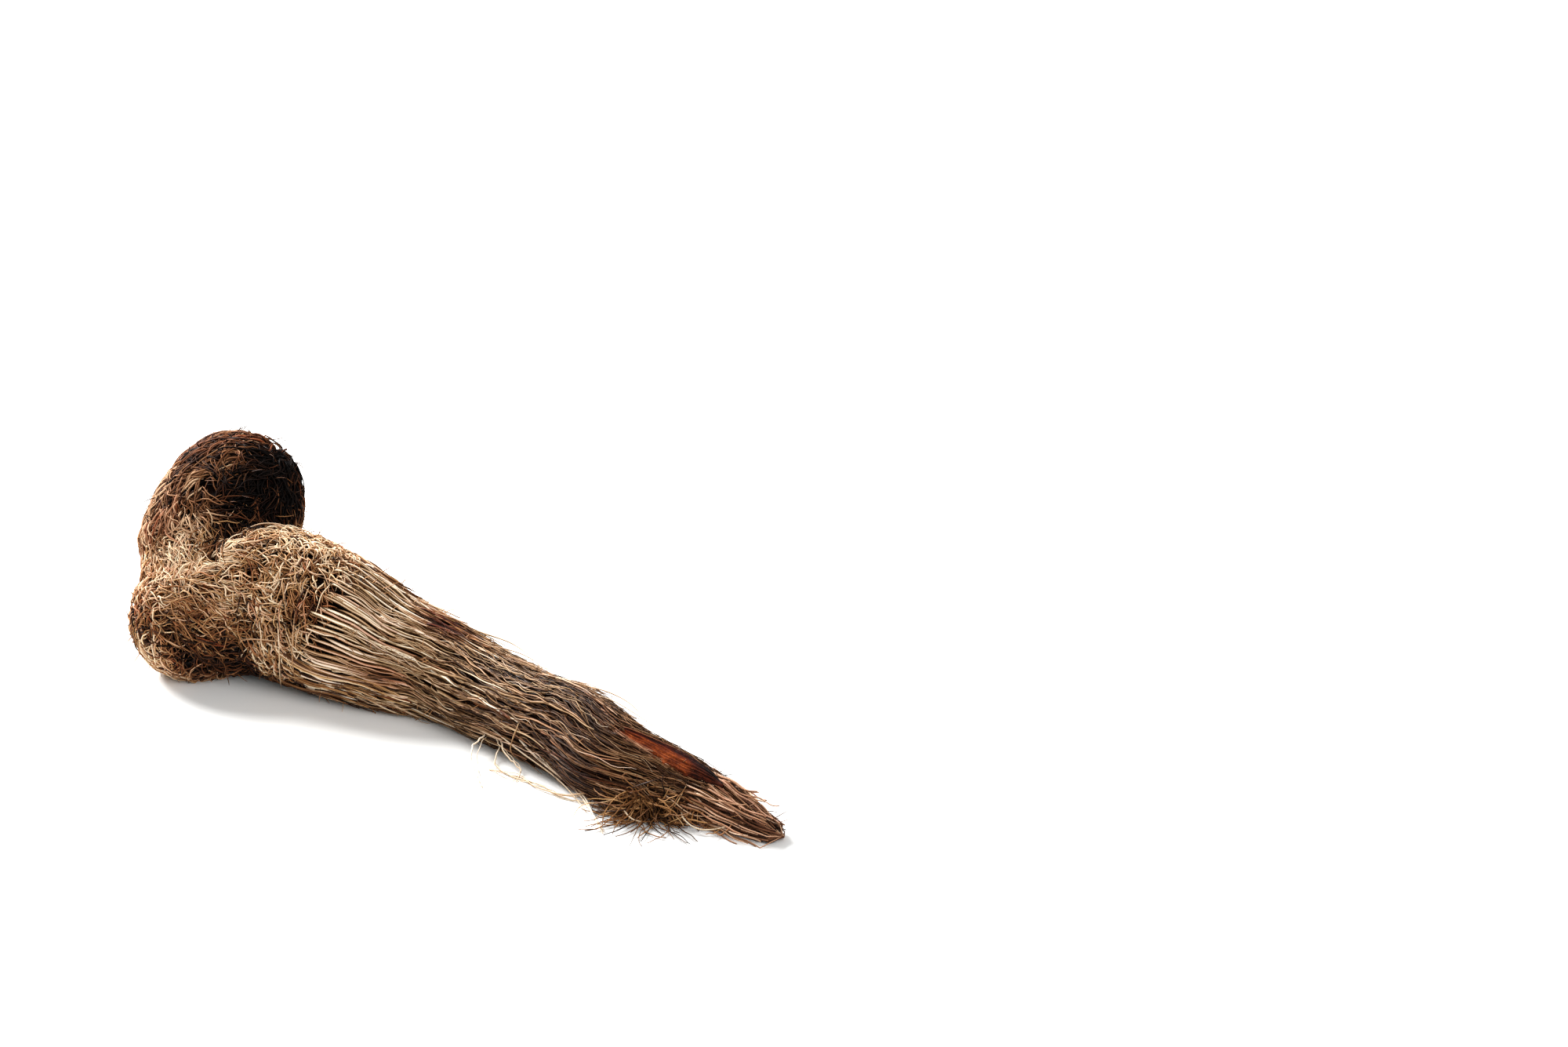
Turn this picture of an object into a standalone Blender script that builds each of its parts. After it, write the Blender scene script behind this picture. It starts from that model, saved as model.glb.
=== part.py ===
"""A dried jatamansi root, lying on its side as it would on a table.

It is one knotted rhizome. Two blunt crowns stand at its head end, the combed fibres of its old leaf bases
wrap it and narrow to a wispy tail, and one dried leaf base shows as a rust-red strip near the tail.
+X runs from the head to the tail and +Z is up. The origin is the middle of the bounding box's underside.
"""

import math
import random
from collections import namedtuple

import bmesh
import bpy
import numpy as np
from mathutils import Vector, noise

MM = 0.001

# The middle of the root and its half sizes at places along it, in millimetres.
Station = namedtuple("Station", "x y z half_width half_height")

TRUNK = (
    Station(-35.7, -7.9, 5.5, 5.8, 5.5),
    Station(-30.0, -5.4, 6.0, 6.1, 6.0),
    Station(-25.0, -1.7, 7.6, 6.1, 7.0),
    Station(-19.8, -0.8, 7.2, 6.5, 6.9),
    Station(-15.2, -0.4, 6.3, 6.0, 6.2),
    Station(-10.2, 0.4, 5.1, 5.1, 5.0),
    Station(-5.0, 1.2, 4.4, 4.1, 4.2),
    Station(1.1, 0.7, 3.8, 3.7, 3.6),
    Station(7.2, -0.3, 3.7, 3.4, 3.5),
    Station(13.5, -1.3, 3.8, 3.4, 3.7),
    Station(19.2, -2.8, 3.2, 3.5, 3.1),
    Station(24.0, -2.0, 2.5, 2.8, 2.4),
    Station(28.6, -1.7, 1.9, 2.0, 1.8),
    Station(33.2, -2.1, 1.3, 1.5, 1.2),
    Station(36.6, -2.4, 1.0, 0.9, 0.7),
)
REAR_CROWN = (
    Station(-31.3, 9.0, 18.2, 5.6, 4.5),
    Station(-32.5, 5.2, 15.1, 6.7, 5.8),
    Station(-32.6, 1.5, 12.6, 6.8, 6.2),
    Station(-31.1, -1.9, 9.5, 6.9, 6.0),
    Station(-31.0, -4.5, 6.8, 5.4, 5.4),
)
HEAD_ROUNDING = 6.2
CROWN_ROUNDING = 5.0

TRUNK_RINGS = 29
TRUNK_SIDES = 24
CROWN_RINGS = 10
CROWN_SIDES = 22
CROWN_COMBED = 0.9

# The skin: ridges where its fibres are combed, lumps and small tufts on the matted head.
RIDGE_HEIGHT = 0.5
HEAD_RIDGES = 0.6
LUMP_HEIGHT = 0.9
LUMP_SIZE = 3.2
TUFT_HEIGHT = 1.1
TUFT_SIZE = 0.9
COLLAR = 20.0
COLLAR_BLEND = 4.0

# The root's weight has pressed its underside flat at this height, and its fibres stay just above it.
FLOOR = 0.45
FLOOR_GAP = 0.12

COMBED_COUNT = 34
COMBED_LENGTH = (12.0, 20.0)
FRINGE_COUNT = 14
FRINGE_END = (28.0, 32.0)
FIBRE_RADIUS = 0.55
HEAD_MAT_COUNT = 32
CROWN_MAT_COUNT = 18
MATTED_LENGTH = (5.5, 9.0)
HEAD_BRISTLE_COUNT = 28
CROWN_BRISTLE_COUNT = 16
BRISTLE_LENGTH = (0.9, 2.2)
BRISTLE_RADIUS = 0.45
TAIL_COUNT = 9
BEARD_COUNT = 10
BEARD_SPAN = (58.5, 63.0)
BEARD_LENGTH = (3.5, 7.0)

# Where the thin rootlets run over the table, as x, y and z in millimetres.
ROOTLETS = (
    ((6.0, -2.6, 2.6), (6.4, -4.2, 2.2), (8.0, -4.9, 1.2), (9.6, -5.3, 0.6), (10.5, -7.0, 0.5)),
    ((10.2, -3.0, 2.2), (12.6, -5.3, 1.6), (16.6, -6.6, 0.9), (20.0, -8.0, 0.6), (22.6, -9.2, 0.5)),
    ((19.0, -4.6, 1.8), (17.4, -6.7, 0.9), (12.8, -7.0, 0.5), (9.6, -6.2, 0.6), (7.0, -6.6, 0.5)),
    ((4.0, -2.6, 2.4), (4.4, -5.2, 1.7), (6.2, -7.6, 0.9), (8.6, -9.6, 0.5)),
)
ROOTLET_RADIUS = 0.32

SHEATH_LENGTH = 12.5
SHEATH_HALF_WIDTH = 1.5
SHEATH_THICKNESS = 0.8
SHEATH_GAP = 0.3
SHEATH_START = 56.6
SHEATH_ANGLE = math.radians(76)

SHARP_ANGLE = math.radians(25)
GOLDEN_ANGLE = math.pi * (3 - math.sqrt(5))
draw = random.Random(14)


class Tube:
    """A round body along a smooth line through its stations. Distances along it are in millimetres."""

    def __init__(self, stations, rounding):
        self.values = np.array(stations, float)
        steps = np.linalg.norm(np.diff(self.values[:, :3], axis=0), axis=1)
        self.at = np.concatenate([[0.0], np.cumsum(steps)])
        self.slopes = np.gradient(self.values, self.at, axis=0)
        self.rounding = rounding
        self.length = float(self.at[-1])

    def row(self, along):
        """The station at a distance along the tube, by a cubic through its neighbours."""
        along = min(max(along, 0.0), self.length)
        i = min(int(np.searchsorted(self.at, along, side="right")) - 1, len(self.at) - 2)
        span = self.at[i + 1] - self.at[i]
        t = (along - self.at[i]) / span
        start, end = self.values[i], self.values[i + 1]
        leave, arrive = self.slopes[i] * span, self.slopes[i + 1] * span
        return (
            start * (1 + 2 * t) * (1 - t) ** 2
            + leave * t * (1 - t) ** 2
            + end * t * t * (3 - 2 * t)
            + arrive * t * t * (t - 1)
        )

    def frame(self, along):
        """The middle, and the directions along, to the side and up, at a distance along the tube."""
        here = Vector(self.row(along)[:3])
        ahead = Vector(self.row(along + 0.5)[:3]) - Vector(self.row(along - 0.5)[:3])
        ahead.normalize()
        side = Vector((0, 0, 1)).cross(ahead).normalized()
        return here, ahead, side, ahead.cross(side)

    def dome(self, along):
        """The share of the half sizes that is left where the blunt end rounds off."""
        short = 1 - min(max(along, 0.0) / self.rounding, 1.0)
        return math.sqrt(max(1 - short * short, 0.0))

    def outward(self, along, angle):
        _, _, side, up = self.frame(along)
        return side * math.cos(angle) + up * math.sin(angle)

    def skin(self, along, angle, lift=0.0):
        """A point on the surface, or above it by lift."""
        here, _, side, up = self.frame(along)
        _, _, _, half_width, half_height = self.row(along)
        share = self.dome(along)
        point = here + side * math.cos(angle) * half_width * share + up * math.sin(angle) * half_height * share
        return point + self.outward(along, angle) * lift


def blend(start, end, share):
    return start + (end - start) * share


def combed_share(along):
    """0 in the matted head, 1 where the fibres are combed along the root."""
    t = min(max((along - COLLAR + COLLAR_BLEND) / (2 * COLLAR_BLEND), 0.0), 1.0)
    return t * t * (3 - 2 * t)


def relief(tube, along, angle, index, combed):
    """How far the skin stands out: alternate ridges where it is combed, rough lumps where it is matted."""
    wobble = noise.noise(Vector((along * 0.22, index * 0.9, 0.0)))
    ridge = RIDGE_HEIGHT * (1 if index % 2 else -1) * (0.8 + 0.9 * wobble)
    place = tube.skin(along, angle)
    lump = LUMP_HEIGHT * noise.noise(place / LUMP_SIZE) + TUFT_HEIGHT * noise.noise(place / TUFT_SIZE)
    return blend(lump + HEAD_RIDGES * ridge, ridge, combed)


def solid_from_faces(name, bm):
    """A mesh object of the closed shell in bm, with its faces turned out."""
    bmesh.ops.triangulate(bm, faces=bm.faces)
    bmesh.ops.recalc_face_normals(bm, faces=bm.faces)
    mesh = bpy.data.meshes.new(name)
    bm.to_mesh(mesh)
    bm.free()
    made = bpy.data.objects.new(name, mesh)
    bpy.context.scene.collection.objects.link(made)
    return made


def loft(name, tube, rings, sides, combed_at):
    """A closed body of rings round the tube's line, whose underside is flat where it would pass the floor."""
    bm = bmesh.new()
    levels = []
    for i in range(rings):
        along = blend(0.3, tube.length, (i / (rings - 1)) ** 1.06)
        slim = min(tube.row(along)[4] / 2.0, 1.0) * tube.dome(along)
        ring = []
        for k in range(sides):
            angle = 2 * math.pi * k / sides
            lift = relief(tube, along, angle, k, combed_at(along)) * slim
            point = tube.skin(along, angle, lift)
            point.z = max(point.z, FLOOR)
            ring.append(bm.verts.new(point * MM))
        levels.append(ring)
    for lower, upper in zip(levels, levels[1:]):
        for k in range(sides):
            n = (k + 1) % sides
            bm.faces.new((lower[k], lower[n], upper[n], upper[k]))
    for ring in (levels[0], levels[-1]):
        hub = bm.verts.new(sum((v.co for v in ring), Vector()) / sides)
        for k in range(sides):
            bm.faces.new((ring[k], ring[(k + 1) % sides], hub))
    return solid_from_faces(name, bm)


def strand(name, points, radius, end_share=0.4):
    """One fibre: a four-sided tapering tube along its points, closed at both ends and kept off the floor."""
    curve = bpy.data.curves.new(name, "CURVE")
    curve.dimensions = "3D"
    curve.bevel_depth = MM
    curve.bevel_resolution = 0
    curve.use_fill_caps = True
    spline = curve.splines.new("POLY")
    spline.points.add(len(points) - 1)
    for k, (target, point) in enumerate(zip(spline.points, points)):
        target.radius = radius * blend(1.0, end_share, k / (len(points) - 1))
        height = max(point.z, FLOOR + target.radius + FLOOR_GAP)
        target.co = (point.x * MM, point.y * MM, height * MM, 1.0)
    guide = bpy.data.objects.new(name, curve)
    bpy.context.scene.collection.objects.link(guide)
    graph = bpy.context.evaluated_depsgraph_get()
    mesh = bpy.data.meshes.new_from_object(guide.evaluated_get(graph))
    bm = bmesh.new()
    bm.from_mesh(mesh)
    bmesh.ops.remove_doubles(bm, verts=bm.verts, dist=0.005 * MM)
    made = solid_from_faces(name, bm)
    made.matrix_world = guide.matrix_world.copy()
    bpy.data.objects.remove(guide)
    return made


def combed_fibres(trunk):
    """Long fibres that start under the skin, lie along the root and lift at their free ends."""
    made = []
    first = COLLAR - 2.0
    last = trunk.length - 17.0
    for i in range(COMBED_COUNT):
        start = blend(first, last, ((i + draw.random()) / COMBED_COUNT) ** 1.2)
        length = draw.uniform(*COMBED_LENGTH)
        swing = draw.uniform(-0.25, 0.25)
        free_end = draw.uniform(0.35, 1.0)
        points = []
        for t, lift in ((0.0, -0.9), (0.2, 0.25), (0.6, 0.4), (1.0, free_end)):
            angle = i * GOLDEN_ANGLE + swing * math.sin(2.5 * t + i)
            points.append(trunk.skin(start + length * t, angle, lift))
        made.append(strand(f"combed_{i:02d}", points, FIBRE_RADIUS))
    return made


def fringe(trunk):
    """The fibres of the outermost leaf bases, which end in a ragged step behind the collar."""
    made = []
    for i in range(FRINGE_COUNT):
        angle = 2 * math.pi * (i + draw.uniform(-0.3, 0.3)) / FRINGE_COUNT
        start = COLLAR - draw.uniform(0.0, 2.5)
        end = draw.uniform(*FRINGE_END)
        points = []
        for t, lift in ((0.0, -0.9), (0.2, 0.3), (0.6, 0.55), (1.0, 1.2)):
            points.append(trunk.skin(blend(start, end, t), angle, lift))
        made.append(strand(f"fringe_{i:02d}", points, FIBRE_RADIUS))
    return made


def matted_fibres(tube, name, count, first, last, swirl):
    """Short curved fibres that lie on a crown in many directions, their ends sunk in it."""
    made = []
    for i in range(count):
        along = blend(first, last, (i + 0.5) / count)
        angle = i * GOLDEN_ANGLE
        heading = draw.uniform(-swirl, swirl)
        half = draw.uniform(*MATTED_LENGTH) / 2
        bend = draw.uniform(-0.5, 0.5)
        around = max(tube.row(along)[3] * tube.dome(along), 1.5)
        points = []
        for t, lift in ((-1.0, -0.6), (0.0, 0.75), (1.0, -0.2)):
            turn = heading + bend * t
            place = along + half * t * math.cos(turn)
            points.append(tube.skin(place, angle + half * t * math.sin(turn) / around, lift))
        made.append(strand(f"{name}_{i:02d}", points, BRISTLE_RADIUS, 0.8))
    return made


def bristles(tube, name, count, first, last):
    """Short fibres that stand out of a crown on all its sides."""
    made = []
    for i in range(count):
        along = blend(first, last, (i + 0.5) / count)
        angle = i * GOLDEN_ANGLE + draw.uniform(-0.2, 0.2)
        length = draw.uniform(*BRISTLE_LENGTH)
        _, ahead, _, _ = tube.frame(along)
        outward = (tube.outward(along, angle) - ahead * (1 - tube.dome(along))).normalized()
        around = ahead.cross(outward)
        lean = ahead * draw.uniform(-0.8, 0.8) + around * draw.uniform(-0.8, 0.8)
        foot = tube.skin(along, angle) - outward
        points = [foot, foot + (outward + lean).normalized() * (length + 1)]
        made.append(strand(f"{name}_{i:02d}", points, BRISTLE_RADIUS))
    return made


def tail_strands(trunk):
    """The last strands of the tail, which part from each other before they end."""
    made = []
    for i in range(TAIL_COUNT):
        angle = 2 * math.pi * (i + 0.5) / TAIL_COUNT
        start = trunk.length - draw.uniform(10.0, 14.0)
        end = trunk.length + draw.uniform(-2.0, 1.5)
        points = []
        for t, lift in ((0.0, -0.6), (0.4, 0.4), (1.0, 0.9)):
            along = blend(start, end, t)
            beyond = max(along - trunk.length, 0.0)
            points.append(trunk.skin(along, angle + 0.3 * t, lift) + Vector((beyond, 0, 0)))
        made.append(strand(f"tail_{i:02d}", points, FIBRE_RADIUS))
    return made


def beard(trunk):
    """A tuft of curled fibres that spreads from the root's front side over the table."""
    made = []
    for i in range(BEARD_COUNT):
        along = draw.uniform(*BEARD_SPAN)
        foot = trunk.skin(along, math.radians(draw.uniform(180, 225)), -1.0)
        out = Vector((draw.uniform(-0.2, 1.4), -1.0, 0.0)).normalized()
        reach = draw.uniform(*BEARD_LENGTH)
        curl = Vector((draw.uniform(-1.1, 1.1), 0.4, 0.0))
        rise = Vector((0.0, 0.0, draw.uniform(-0.2, 1.0)))
        points = [
            foot,
            foot + out * reach * 0.45 + rise,
            foot + out * reach * 0.8 + curl * 0.6 - Vector((0.0, 0.0, 0.8)),
            foot + out * reach + curl * 1.9 - Vector((0.0, 0.0, 1.8)),
        ]
        made.append(strand(f"beard_{i:02d}", points, FIBRE_RADIUS, 0.5))
    return made


def rootlets():
    made = []
    for i, line in enumerate(ROOTLETS):
        points = [Vector(point) for point in line]
        made.append(strand(f"rootlet_{i:02d}", points, ROOTLET_RADIUS, 0.8))
    return made


def leaf_sheath(name, trunk, grow):
    """The dried leaf base: a thin strip bent round the root, narrow at both ends and grown by a margin."""
    rows, columns = 12, 7
    bm = bmesh.new()
    shell = []
    for outside in (False, True):
        grid = []
        for i in range(rows):
            t = i / (rows - 1)
            along = SHEATH_START + blend(-grow, SHEATH_LENGTH + grow, t)
            wide = SHEATH_HALF_WIDTH * math.sin(math.pi * blend(0.1, 0.88, t)) ** 0.7 + grow
            radius = trunk.row(along)[4] + 0.6
            level = blend(-0.3, 0.5, t)
            line = []
            for k in range(columns):
                across = 2 * k / (columns - 1) - 1
                lift = level - grow
                if outside:
                    pleat = 0.0 if grow else 0.12 * math.cos(math.pi * (columns - 1 - k))
                    lift = level + SHEATH_THICKNESS + grow + pleat
                angle = SHEATH_ANGLE + 0.25 * t + across * wide / radius
                line.append(bm.verts.new(trunk.skin(along, angle, lift) * MM))
            grid.append(line)
        shell.append(grid)
    inner, outer = shell
    for grid in shell:
        for i in range(rows - 1):
            for k in range(columns - 1):
                bm.faces.new((grid[i][k], grid[i][k + 1], grid[i + 1][k + 1], grid[i + 1][k]))
    for i in range(rows - 1):
        for k in (0, columns - 1):
            bm.faces.new((inner[i][k], inner[i + 1][k], outer[i + 1][k], outer[i][k]))
    for k in range(columns - 1):
        for i in (0, rows - 1):
            bm.faces.new((inner[i][k], inner[i][k + 1], outer[i][k + 1], outer[i][k]))
    return solid_from_faces(name, bm)


def bake_modifiers(body):
    graph = bpy.context.evaluated_depsgraph_get()
    mesh = bpy.data.meshes.new_from_object(body.evaluated_get(graph))
    body.modifiers.clear()
    body.data = mesh


def join_all(body, pieces):
    """One Boolean union of the body with all the pieces, which are then removed."""
    group = bpy.data.collections.new("joined")
    for piece in pieces:
        group.objects.link(piece)
    union = body.modifiers.new("join", "BOOLEAN")
    union.operation = "UNION"
    union.operand_type = "COLLECTION"
    union.collection = group
    union.solver = "MANIFOLD"
    bake_modifiers(body)
    for piece in pieces:
        bpy.data.objects.remove(piece)
    bpy.data.collections.remove(group)


def cut_away(body, cutter):
    cut = body.modifiers.new("cut", "BOOLEAN")
    cut.operation = "DIFFERENCE"
    cut.object = cutter
    cut.solver = "MANIFOLD"
    bake_modifiers(body)
    bpy.data.objects.remove(cutter)


def keep_outer_skin(body):
    """Drops every loose shell but the largest, which fills sealed hollows and removes scraps."""
    bm = bmesh.new()
    bm.from_mesh(body.data)
    unseen = set(bm.verts)
    shells = []
    while unseen:
        shell = {unseen.pop()}
        rim = shell
        while rim:
            rim = {edge.other_vert(vert) for vert in rim for edge in vert.link_edges} - shell
            shell = shell | rim
        unseen -= shell
        shells.append(shell)
    largest = max(shells, key=len)
    bmesh.ops.delete(bm, geom=[vert for vert in bm.verts if vert not in largest], context="VERTS")
    bm.to_mesh(body.data)
    bm.free()


def put_on_origin(bodies):
    """Moves the bodies so that the origin is the middle of their bounding box's underside."""
    corners = [vert.co for body in bodies for vert in body.data.vertices]
    low = Vector([min(corner[i] for corner in corners) for i in range(3)])
    high = Vector([max(corner[i] for corner in corners) for i in range(3)])
    offset = Vector(((low.x + high.x) / 2, (low.y + high.y) / 2, low.z))
    for body in bodies:
        for vert in body.data.vertices:
            vert.co -= offset
        body.data.update()


def material(name, colour, roughness):
    made = bpy.data.materials.new(name)
    made.use_nodes = True
    shader = made.node_tree.nodes["Principled BSDF"]
    shader.inputs["Base Color"].default_value = (*colour, 1.0)
    shader.inputs["Roughness"].default_value = roughness
    return made


def main():
    for old in list(bpy.data.objects):
        bpy.data.objects.remove(old)
    trunk = Tube(TRUNK, HEAD_ROUNDING)
    crown = Tube(REAR_CROWN, CROWN_ROUNDING)
    root = loft("root", trunk, TRUNK_RINGS, TRUNK_SIDES, combed_share)
    pieces = [loft("rear_crown", crown, CROWN_RINGS, CROWN_SIDES, lambda along: CROWN_COMBED)]
    pieces += combed_fibres(trunk)
    pieces += fringe(trunk)
    pieces += matted_fibres(trunk, "head_mat", HEAD_MAT_COUNT, 2.5, COLLAR + 1.0, math.pi)
    pieces += matted_fibres(crown, "crown_mat", CROWN_MAT_COUNT, 2.0, 12.0, 0.7)
    pieces += bristles(trunk, "head_bristle", HEAD_BRISTLE_COUNT, 0.6, COLLAR + 1.0)
    pieces += bristles(crown, "crown_bristle", CROWN_BRISTLE_COUNT, 0.6, 11.0)
    pieces += tail_strands(trunk)
    pieces += beard(trunk)
    pieces += rootlets()
    join_all(root, pieces)
    cut_away(root, leaf_sheath("sheath_space", trunk, SHEATH_GAP))
    keep_outer_skin(root)
    sheath = leaf_sheath("leaf_sheath", trunk, 0.0)
    put_on_origin([root, sheath])
    root.data.materials.clear()
    root.data.materials.append(material("root_fibre", (0.30, 0.17, 0.075), 0.75))
    sheath.data.materials.append(material("leaf_base", (0.34, 0.085, 0.03), 0.55))
    home = bpy.data.collections.new("jatamansi_root")
    bpy.context.scene.collection.children.link(home)
    for made in (root, sheath):
        made.data.shade_smooth()
        made.data.set_sharp_from_angle(angle=SHARP_ANGLE)
        bpy.context.scene.collection.objects.unlink(made)
        home.objects.link(made)


main()
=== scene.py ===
"""A dried jatamansi root, fibre by fibre: combed tuft, matted crowns, beard, rootlets, leaf base.

Lengths here are in millimetres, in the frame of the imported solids, until a mesh is made.
+X runs from the head to the tail and +Z is up.
"""

import math

import bpy
import numpy as np
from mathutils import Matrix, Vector, noise
from mathutils.bvhtree import BVHTree


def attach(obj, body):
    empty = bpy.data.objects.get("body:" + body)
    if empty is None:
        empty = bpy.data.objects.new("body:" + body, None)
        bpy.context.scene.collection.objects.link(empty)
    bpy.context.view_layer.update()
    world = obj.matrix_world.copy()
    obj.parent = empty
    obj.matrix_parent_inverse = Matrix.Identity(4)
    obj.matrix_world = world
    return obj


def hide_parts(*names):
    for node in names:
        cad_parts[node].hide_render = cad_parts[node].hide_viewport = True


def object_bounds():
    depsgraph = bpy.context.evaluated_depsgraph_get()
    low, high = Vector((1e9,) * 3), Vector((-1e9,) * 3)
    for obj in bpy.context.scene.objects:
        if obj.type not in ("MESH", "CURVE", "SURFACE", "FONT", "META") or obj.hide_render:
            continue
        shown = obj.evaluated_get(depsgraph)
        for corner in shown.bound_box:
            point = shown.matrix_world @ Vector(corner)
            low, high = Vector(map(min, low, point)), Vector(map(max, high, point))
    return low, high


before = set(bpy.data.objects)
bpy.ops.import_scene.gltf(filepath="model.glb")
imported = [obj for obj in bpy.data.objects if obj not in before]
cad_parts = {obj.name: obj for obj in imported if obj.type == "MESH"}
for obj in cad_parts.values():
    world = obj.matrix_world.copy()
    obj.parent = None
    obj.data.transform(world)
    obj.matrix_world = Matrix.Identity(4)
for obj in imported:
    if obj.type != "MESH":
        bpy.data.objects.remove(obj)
cad_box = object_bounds()

MM = 0.001
UP = np.array((0.0, 0.0, 1.0))
FULL_TURN = 2 * np.pi
rng = np.random.default_rng(14)

# The body's stations, as the middle's x, y and z, the half width and the half height.
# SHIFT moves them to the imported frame.
TRUNK = (
    (-35.7, -7.9, 5.5, 5.8, 5.5),
    (-30.0, -5.4, 6.0, 6.1, 6.0),
    (-25.0, -1.7, 7.6, 6.1, 7.0),
    (-19.8, -0.8, 7.2, 6.5, 6.9),
    (-15.2, -0.4, 6.3, 6.0, 6.2),
    (-10.2, 0.4, 5.1, 5.1, 5.0),
    (-5.0, 1.2, 4.4, 4.1, 4.2),
    (1.1, 0.7, 3.8, 3.7, 3.6),
    (7.2, -0.3, 3.7, 3.4, 3.5),
    (13.5, -1.3, 3.8, 3.4, 3.7),
    (19.2, -2.8, 3.2, 3.5, 3.1),
    (24.0, -2.0, 2.5, 2.8, 2.4),
    (28.6, -1.7, 1.9, 2.0, 1.8),
    (33.2, -2.1, 1.3, 1.5, 1.2),
    (36.6, -2.4, 1.0, 0.9, 0.7),
)
REAR_CROWN = (
    (-31.3, 9.0, 18.2, 5.6, 4.5),
    (-32.5, 5.2, 15.1, 6.7, 5.8),
    (-32.6, 1.5, 12.6, 6.8, 6.2),
    (-31.1, -1.9, 9.5, 6.9, 6.0),
    (-31.0, -4.5, 6.8, 5.4, 5.4),
)
SHIFT = np.array((1.1231, 0.7847, -0.45))
HEAD_ROUNDING, CROWN_ROUNDING = 6.2, 5.0
VOXEL = 0.4

# Where the collar starts and ends along the trunk, and the middle of the rear crown's whorl.
COLLAR_START, COLLAR_END = 12.9, 20.0
WHORL = (-30.6, -0.9, 17.2)

# The leaf base: where it starts along the trunk and round it, its size, how far it winds round
# the trunk on its way, and how far its middle stands off the trunk.
SHEATH_FIRST, SHEATH_ANGLE = 56.8, math.radians(88)
SHEATH_LENGTH, SHEATH_HALF_WIDTH, SHEATH_THICKNESS = 12.6, 1.25, 0.45
SHEATH_WINDING, SHEATH_LIFT = 0.25, 0.6

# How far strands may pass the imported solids' box, and how gently they are held there.
BOX_MARGIN, SOFTNESS = 0.35, 0.12

# How much of the streaks' pattern a millimetre of fibre passes.
PATTERN_STEP = 0.12


def unit(vectors):
    length = np.linalg.norm(vectors, axis=-1, keepdims=True)
    return vectors / np.maximum(length, 1e-9)


def smooth(low, high, value):
    """0 at low, 1 at high and a soft step between them. low may be the larger one."""
    t = np.clip((value - low) / (high - low), 0.0, 1.0)
    return t * t * (3 - 2 * t)


def bell(*offsets):
    """1 where every offset is 0, and nearly 0 where one of them is 2."""
    return np.exp(-sum(offset**2 for offset in offsets))


def distances(line):
    """How far along a line of points each of them lies."""
    steps = np.linalg.norm(np.diff(line, axis=0), axis=1)
    return np.concatenate([[0.0], np.cumsum(steps)])


def between(at, values, slopes, wanted):
    """The values at the wanted distances, on cubics through the values and slopes at others."""
    i = np.clip(np.searchsorted(at, wanted, side="right") - 1, 0, len(at) - 2)
    span = (at[i + 1] - at[i])[..., None]
    t = (wanted - at[i])[..., None] / span
    return (
        values[i] * (1 + 2 * t) * (1 - t) ** 2
        + slopes[i] * span * t * (1 - t) ** 2
        + values[i + 1] * t * t * (3 - 2 * t)
        + slopes[i + 1] * span * t * t * (t - 1)
    )


def curve_points(line, steps):
    """A smooth path of equal steps through a few points."""
    line = np.array(line, float)
    at = distances(line)
    return between(at, line, np.gradient(line, at, axis=0), np.linspace(0.0, at[-1], steps))


class Tube:
    """A round body along a smooth line through its stations, worked out for many places at once."""

    def __init__(self, stations, rounding):
        self.values = np.array(stations, float)
        self.values[:, :3] += SHIFT
        self.at = distances(self.values[:, :3])
        self.slopes = np.gradient(self.values, self.at, axis=0)
        self.rounding = rounding
        self.length = float(self.at[-1])

    def rows(self, along):
        return between(self.at, self.values, self.slopes, np.clip(along, 0.0, self.length))

    def frames(self, along):
        """The middle, and the directions along, to the side and up."""
        here = self.rows(along)[..., :3]
        ahead = unit(self.rows(along + 0.5)[..., :3] - self.rows(along - 0.5)[..., :3])
        side = unit(np.cross(UP, ahead))
        return here, ahead, side, np.cross(ahead, side)

    def skin(self, along, angle, lift):
        """Points on the surface, or above it by lift, and the directions out of it there."""
        row = self.rows(along)
        here, ahead, side, up = self.frames(along)
        short = 1 - np.clip(along / self.rounding, 0.0, 1.0)
        share = np.sqrt(np.clip(1 - short * short, 0.0, 1.0))
        across, high = np.cos(angle)[..., None], np.sin(angle)[..., None]
        radial = side * across + up * high
        outward = unit(radial * share[..., None] - ahead * short[..., None])
        beyond = np.maximum(along - self.length, 0.0)[..., None] * np.array((1.0, 0.0, 0.0))
        point = here + side * across * (row[..., 3] * share)[..., None]
        point = point + up * high * (row[..., 4] * share)[..., None] + beyond
        return point + outward * lift[..., None], outward


trunk = Tube(TRUNK, HEAD_ROUNDING)
crown = Tube(REAR_CROWN, CROWN_ROUNDING)


# ---- meshes


def add_object(name, data):
    made = bpy.data.objects.new(name, data)
    bpy.context.scene.collection.objects.link(made)
    return made


def mesh_object(name, points, polygons, values):
    """A smooth mesh object from points in millimetres, lists of corners, and named values."""
    mesh = bpy.data.meshes.new(name)
    mesh.vertices.add(len(points))
    mesh.vertices.foreach_set("co", np.ravel(points * MM).astype(np.float32))
    sizes = np.concatenate([np.full(len(p), p.shape[1]) for p in polygons])
    corners = np.concatenate([p.ravel() for p in polygons])
    mesh.loops.add(len(corners))
    mesh.loops.foreach_set("vertex_index", corners.astype(np.int32))
    mesh.polygons.add(len(sizes))
    mesh.polygons.foreach_set("loop_start", (np.cumsum(sizes) - sizes).astype(np.int32))
    mesh.polygons.foreach_set("use_smooth", np.ones(len(sizes), bool))
    mesh.update(calc_edges=True)
    for key, value in values.items():
        kind, data_name = ("FLOAT_VECTOR", "vector") if value.ndim == 2 else ("FLOAT", "value")
        layer = mesh.attributes.new(key, kind, "POINT")
        layer.data.foreach_set(data_name, np.ravel(value).astype(np.float32))
    return add_object(name, mesh)


def dress(piece, material, node="root"):
    """Gives a piece its material, hangs it under the root's body and hides the CAD node that it
    stands for.
    """
    piece.data.materials.append(material)
    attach(piece, "root")
    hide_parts(node)


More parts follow.
